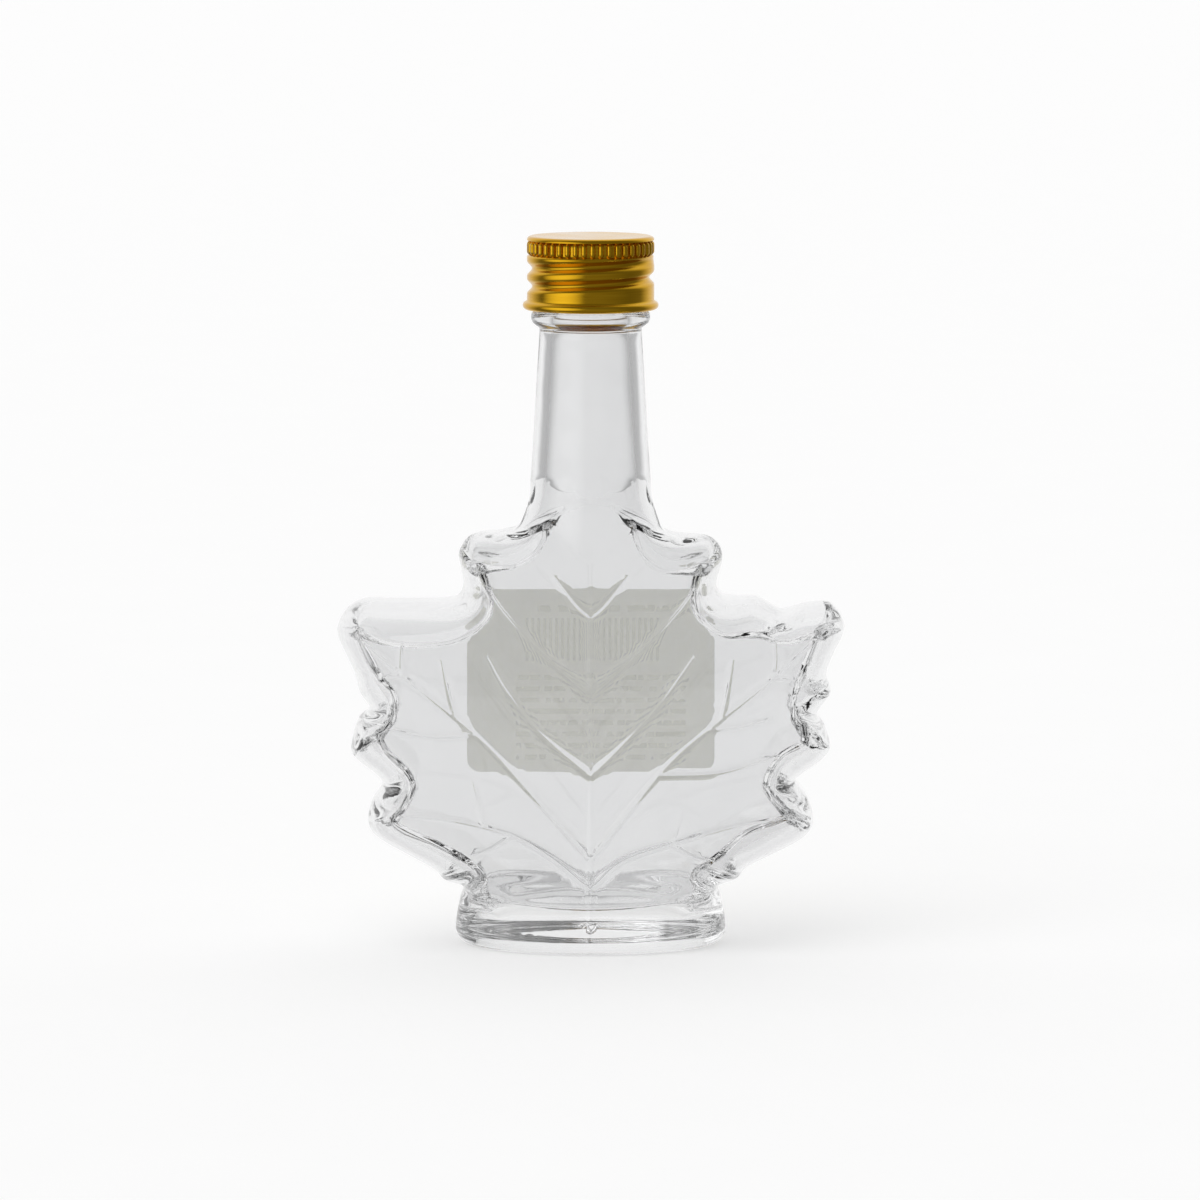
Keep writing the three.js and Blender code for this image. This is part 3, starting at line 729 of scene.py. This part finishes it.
def makeCap(gold):
    low = cap["bottom"]
    r = cap["radius"]
    top = cap["top"]
    bore = cap["bore"]
    profile = [(0.0, 106.0), (5.0, 106.0), (8.0, 106.0), (bore, 105.7), (bore, 97.4), (9.0, 96.9), (9.22, 96.5),
               (9.25, low + 0.12), (9.35, low), (9.6, low + 0.02)]
    for k in range(-3, 4):
        angle = math.radians(24 * k)
        profile.append((r + 0.1 + (cap["beadRadius"] - r - 0.1) * math.cos(angle),
                        low + cap["bead"] * (1 + 0.92 * math.sin(angle))))
    profile += [(r + 0.03, low + 1.38)]
    wall = np.arange(cap["skirt"][0], cap["skirt"][1], cap["skirtStep"])
    profile += [(r, h) for h in wall]
    profile += [(r, 103.58), (r - 0.06, 103.72), (r - 0.4, 103.92), (r - 0.52, 104.1), (r - 0.55, 104.5),
                (r - 0.55, 105.4), (r - 0.52, 105.72), (r - 0.36, 105.9), (r - 0.08, 106.02), (r, 106.1),
                (r - 0.02, 106.24), (r - 0.11, 106.44), (r - 0.28, 106.59), (r - 0.55, 106.68), (r - 0.9, top),
                (r - 1.6, top), (6.0, 106.68), (3.0, 106.66), (0.0, 106.65)]
    angle = np.linspace(0, 2 * math.pi, cap["segments"], endpoint=False)
    verts = []
    faces = []
    for radius, h in profile:
        outside = radius > 9.4 and cap["skirt"][0] - 0.05 < h < 104.0
        reach = radius - (threadGroove(angle, h) if outside else 0.0)
        verts.append(np.column_stack([reach * np.cos(angle), reach * np.sin(angle), np.full(len(angle), h)]))
    count = cap["segments"]
    for level in range(len(profile) - 1):
        for i in range(count):
            j = (i + 1) % count
            faces.append((level * count + i, level * count + j, (level + 1) * count + j, (level + 1) * count + i))
    body = pieceFrom("capSkin", np.vstack(verts), faces, sharp=50)
    body.data.materials.append(gold)
    ribs = meshFromTree("capKnurls", makeKnurlTree(gold), {
        "Count": knurl["count"], "Radius": knurl["radius"] * mm, "Low": knurl["low"] * mm,
        "High": knurl["high"] * mm, "Width": knurl["width"] * mm,
    })
    return body, ribs


def makeLabel(paper):
    columns = np.linspace(-1, 1, label["columns"] + 1)
    rows = 0.5 - 0.5 * np.cos(np.linspace(0, math.pi, label["rows"] + 1))
    height = label["low"] + (label["high"] - label["low"]) * rows
    fromEnd = np.minimum(np.minimum(height - label["low"], label["high"] - height), label["corner"])
    cut = label["corner"] - np.sqrt(label["corner"] ** 2 - (label["corner"] - fromEnd) ** 2)
    half = label["halfWidth"] - cut
    verts = []
    for offset in (0.0, label["thick"]):
        for h, w in zip(height, half):
            y = leafDepthAt(h) + label["gap"] + offset
            verts += [(w * c, y, h) for c in columns]
    across = len(columns)
    sheet = across * len(height)
    faces = []
    for j in range(len(height) - 1):
        for i in range(across - 1):
            a = j * across + i
            faces.append((a, a + 1, a + across + 1, a + across))
            faces.append((sheet + a, sheet + a + across, sheet + a + across + 1, sheet + a + 1))
    rim = list(range(across))
    rim += [j * across + across - 1 for j in range(1, len(height))]
    rim += [(len(height) - 1) * across + i for i in range(across - 2, -1, -1)]
    rim += [j * across for j in range(len(height) - 2, 0, -1)]
    for a, b in zip(rim, rim[1:] + rim[:1]):
        faces.append((a, sheet + a, sheet + b, b))
    sheetPiece = pieceFrom("backLabel", verts, faces, sharp=40)
    sheetPiece.data.materials.append(paper)
    return sheetPiece


# finishes

def newFinish(name):
    finish = bpy.data.materials.new(name)
    finish.use_nodes = True
    tree = finish.node_tree
    shader = next(n for n in tree.nodes if n.type == "BSDF_PRINCIPLED")
    return finish, tree, shader


def objectNoise(tree, scale, detail, stretch=(1.0, 1.0, 1.0), rough=0.5):
    place = tree.nodes.new("ShaderNodeTexCoord")
    turn = tree.nodes.new("ShaderNodeMapping")
    turn.inputs["Scale"].default_value = stretch
    noise = tree.nodes.new("ShaderNodeTexNoise")
    noise.inputs["Scale"].default_value = scale
    noise.inputs["Detail"].default_value = detail
    noise.inputs["Roughness"].default_value = rough
    tree.links.new(place.outputs["Object"], turn.inputs["Vector"])
    tree.links.new(turn.outputs["Vector"], noise.inputs["Vector"])
    return noise


def spread(tree, source, low, high, fromLow=0.3, fromHigh=0.7):
    span = tree.nodes.new("ShaderNodeMapRange")
    span.inputs["From Min"].default_value = fromLow
    span.inputs["From Max"].default_value = fromHigh
    span.inputs["To Min"].default_value = low
    span.inputs["To Max"].default_value = high
    tree.links.new(source, span.inputs["Value"])
    return span.outputs["Result"]


def ramp(tree, source, stops):
    band = tree.nodes.new("ShaderNodeValToRGB")
    while len(band.color_ramp.elements) < len(stops):
        band.color_ramp.elements.new(0.5)
    for spot, (at, colour) in zip(band.color_ramp.elements, stops):
        spot.position = at
        spot.color = (*colour, 1.0)
    tree.links.new(source, band.inputs["Fac"])
    return band.outputs["Color"]


def bumpFrom(tree, shader, source, strength, distance):
    bump = tree.nodes.new("ShaderNodeBump")
    bump.inputs["Strength"].default_value = strength
    bump.inputs["Distance"].default_value = distance
    tree.links.new(source, bump.inputs["Height"])
    tree.links.new(bump.outputs["Normal"], shader.inputs["Normal"])


def makeGlass():
    finish, tree, shader = newFinish("clearGlass")
    shader.inputs["Transmission Weight"].default_value = 1.0
    shader.inputs["IOR"].default_value = 1.5
    cloud = objectNoise(tree, 60.0, 2.0)
    tone = ramp(tree, cloud.outputs["Fac"], [(0.35, (0.872, 0.874, 0.878)), (0.65, (0.886, 0.888, 0.891))])
    tree.links.new(tone, shader.inputs["Base Color"])
    haze = spread(tree, cloud.outputs["Fac"], 0.0, 0.02)
    tree.links.new(haze, shader.inputs["Roughness"])
    wave = objectNoise(tree, 110.0, 1.0)
    bumpFrom(tree, shader, wave.outputs["Fac"], 0.12, 0.0006)
    return finish


def makeGold():
    finish, tree, shader = newFinish("goldAluminium")
    shader.inputs["Metallic"].default_value = 1.0
    grain = objectNoise(tree, 900.0, 3.0, (0.15, 0.15, 4.0))
    tone = ramp(tree, grain.outputs["Fac"], [(0.3, (0.62, 0.335, 0.01)), (0.7, (0.72, 0.41, 0.018))])
    tree.links.new(tone, shader.inputs["Base Color"])
    tree.links.new(spread(tree, grain.outputs["Fac"], 0.13, 0.21), shader.inputs["Roughness"])
    bumpFrom(tree, shader, grain.outputs["Fac"], 0.06, 0.0002)
    return finish


def mathNode(tree, operation, first, second):
    step = tree.nodes.new("ShaderNodeMath")
    step.operation = operation
    for socket, value in zip(step.inputs, (first, second)):
        if isinstance(value, (int, float)):
            socket.default_value = value
        else:
            tree.links.new(value, socket)
    return step.outputs["Value"]


def within(tree, value, low, high):
    above = mathNode(tree, "GREATER_THAN", value, low * mm)
    return mathNode(tree, "MULTIPLY", above, mathNode(tree, "LESS_THAN", value, high * mm))


# faint plain print: a block of even bars, and rows of short dashes
printing = {
    "ink": (0.62, 0.62, 0.5),
    "dashFrom": 0.44,
    "bars": {"x": (-10.0, 10.6), "z": (41.4, 48.0), "pitch": 0.9, "share": 0.45},
    "rows": [
        {"x": (-8.0, 17.0), "z": (49.0, 50.6), "pitch": 1.6, "share": 0.6},
        {"x": (-11.4, 14.4), "z": (26.2, 40.2), "pitch": 1.75, "share": 0.42},
    ],
}


def printMask(tree):
    place = tree.nodes.new("ShaderNodeTexCoord")
    apart = tree.nodes.new("ShaderNodeSeparateXYZ")
    tree.links.new(place.outputs["Object"], apart.inputs["Vector"])
    x = apart.outputs["X"]
    z = apart.outputs["Z"]
    bars = printing["bars"]
    stripe = mathNode(tree, "LESS_THAN", mathNode(tree, "FLOORED_MODULO", x, bars["pitch"] * mm),
                      bars["pitch"] * bars["share"] * mm)
    mask = mathNode(tree, "MULTIPLY", stripe, within(tree, x, *bars["x"]))
    mask = mathNode(tree, "MULTIPLY", mask, within(tree, z, *bars["z"]))
    words = objectNoise(tree, 900.0, 1.0, (1.0, 0.0, 0.35))
    dash = mathNode(tree, "GREATER_THAN", words.outputs["Fac"], printing["dashFrom"])
    for block in printing["rows"]:
        low = mathNode(tree, "SUBTRACT", z, block["z"][0] * mm)
        line = mathNode(tree, "LESS_THAN", mathNode(tree, "FLOORED_MODULO", low, block["pitch"] * mm),
                        block["pitch"] * block["share"] * mm)
        part = mathNode(tree, "MULTIPLY", line, dash)
        part = mathNode(tree, "MULTIPLY", part, within(tree, x, *block["x"]))
        part = mathNode(tree, "MULTIPLY", part, within(tree, z, *block["z"]))
        mask = mathNode(tree, "MAXIMUM", mask, part)
    return mask


def makePaper():
    finish, tree, shader = newFinish("labelPaper")
    fibre = objectNoise(tree, 1400.0, 4.0, (1.0, 1.0, 0.6), 0.6)
    tone = ramp(tree, fibre.outputs["Fac"], [(0.35, (0.95, 0.95, 0.68)), (0.65, (0.99, 0.99, 0.74))])
    inked = tree.nodes.new("ShaderNodeMix")
    inked.data_type = "RGBA"
    inked.inputs["B"].default_value = (*printing["ink"], 1.0)
    tree.links.new(printMask(tree), inked.inputs["Factor"])
    tree.links.new(tone, inked.inputs["A"])
    tree.links.new(inked.outputs["Result"], shader.inputs["Base Color"])
    shader.inputs["Roughness"].default_value = 0.75
    shader.inputs["Subsurface Weight"].default_value = 1.0
    shader.inputs["Subsurface Radius"].default_value = (1.0, 1.0, 0.9)
    shader.inputs["Subsurface Scale"].default_value = 0.002
    bumpFrom(tree, shader, fibre.outputs["Fac"], 0.15, 0.0001)
    return finish


def makeFloorPaint():
    finish, tree, shader = newFinish("paleFloor")
    speck = objectNoise(tree, 40.0, 2.0)
    tone = ramp(tree, speck.outputs["Fac"], [(0.3, (0.5, 0.5, 0.5)), (0.7, (0.506, 0.506, 0.506))])
    tree.links.new(tone, shader.inputs["Base Color"])
    shader.inputs["Roughness"].default_value = 0.9
    shader.inputs["Specular IOR Level"].default_value = 0.1
    # painted light: the floor glows, brightest in a strip behind the bottle, which lightens the bottle's shadow on
    # it
    shader.inputs["Emission Color"].default_value = (1.0, 1.0, 1.0, 1.0)
    place = tree.nodes.new("ShaderNodeTexCoord")
    apart = tree.nodes.new("ShaderNodeSeparateXYZ")
    tree.links.new(place.outputs["Object"], apart.inputs["Vector"])
    aside = tree.nodes.new("ShaderNodeMath")
    aside.operation = "ABSOLUTE"
    tree.links.new(apart.outputs["X"], aside.inputs[0])
    far, wider = studio["sweepOpens"]
    behind = spread(tree, apart.outputs["Y"], 0.0, wider, 0.0, far)
    inside = tree.nodes.new("ShaderNodeMath")
    inside.operation = "SUBTRACT"
    tree.links.new(aside.outputs["Value"], inside.inputs[0])
    tree.links.new(behind, inside.inputs[1])
    paintedGlow = spread(tree, inside.outputs["Value"], *studio["paintedFloorGlow"], *studio["sweepFades"])
    tree.links.new(paintedGlow, shader.inputs["Emission Strength"])
    return finish


# floor with a painted glowing strip, and soft studio light

studio = {
    "floorReach": 9.0,
    "bounces": 20,
    "paintedFloorGlow": (0.56, 0.1),            # painted light: glow strength of the floor's strip behind the bottle, and beside it
    "sweepOpens": (5.0, 0.5),            # the painted glowing strip widens by this much this far behind the bottle
    "sweepFades": (0.14, 0.55),          # and fades out to its sides
    "backdrop": (0.0, 0.95, 0.3),
    "backdropTones": [(0.0, 0.25), (0.36, 0.16), (0.6, 0.2), (0.82, 0.9), (1.0, 0.98)],
    "window": (-0.8, -0.6, 0.1),
    "windowTones": [(0.0, 0.0), (0.84, 0.0), (0.95, 0.95), (1.0, 1.3)],
    "sun": {"from": (-0.3, -0.45, 1.0), "strength": 1.0, "spread": 50.0},
}


def makeStudio():
    floorMesh = bpy.data.meshes.new("paleFloor")
    reach = studio["floorReach"]
    floorMesh.from_pydata([(-reach, -reach, 0), (reach, -reach, 0), (reach, reach, 0), (-reach, reach, 0)], [],
                          [(0, 1, 2, 3)])
    floor = bpy.data.objects.new("paleFloor", floorMesh)
    floorMesh.materials.append(makeFloorPaint())
    floor.visible_glossy = False  # the gold reflects the room, not a white table
    bpy.context.collection.objects.link(floor)

    world = bpy.data.worlds.new("softDome")
    bpy.context.scene.world = world
    world.use_nodes = True
    tree = world.node_tree
    sky = next(n for n in tree.nodes if n.type == "BACKGROUND")
    place = tree.nodes.new("ShaderNodeTexCoord")
    tones = []
    for facing, stops in (("backdrop", "backdropTones"), ("window", "windowTones")):
        side = tree.nodes.new("ShaderNodeVectorMath")
        side.operation = "DOT_PRODUCT"
        side.inputs[1].default_value = Vector(studio[facing]).normalized()
        tree.links.new(place.outputs["Generated"], side.inputs[0])
        share = spread(tree, side.outputs["Value"], 0.0, 1.0, -1.0, 1.0)
        tones.append(ramp(tree, share, [(at, (tone, tone, tone)) for at, tone in studio[stops]]))
    both = tree.nodes.new("ShaderNodeMath")
    both.operation = "MAXIMUM"
    tree.links.new(tones[0], both.inputs[0])
    tree.links.new(tones[1], both.inputs[1])
    tree.links.new(both.outputs["Value"], sky.inputs["Color"])

    sun = studio["sun"]
    lampData = bpy.data.lights.new("softSun", "SUN")
    lampData.energy = sun["strength"]
    lampData.angle = math.radians(sun["spread"])
    lamp = bpy.data.objects.new("softSun", lampData)
    lamp.visible_glossy = False  # no white glare on the rim
    lamp.rotation_euler = (-Vector(sun["from"])).to_track_quat("-Z", "Y").to_euler()
    bpy.context.collection.objects.link(lamp)
    scene = bpy.context.scene
    scene.view_settings.view_transform = "Standard"
    scene.cycles.max_bounces = studio["bounces"]  # light turns many times inside the rim
    scene.cycles.glossy_bounces = studio["bounces"]
    scene.cycles.transmission_bounces = studio["bounces"]
    print("studio lit")


makeCamera()
glass = makeGlass()
gold = makeGold()
paper = makePaper()

bottle = makeBottle(glass)
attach(bottle, "root")
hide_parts("glass_bottle")

capSkin, capKnurls = makeCap(gold)
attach(capSkin, "root")
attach(capKnurls, "root")
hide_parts("cap")

backLabel = makeLabel(paper)
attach(backLabel, "root")
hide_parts("back_label")

makeStudio()
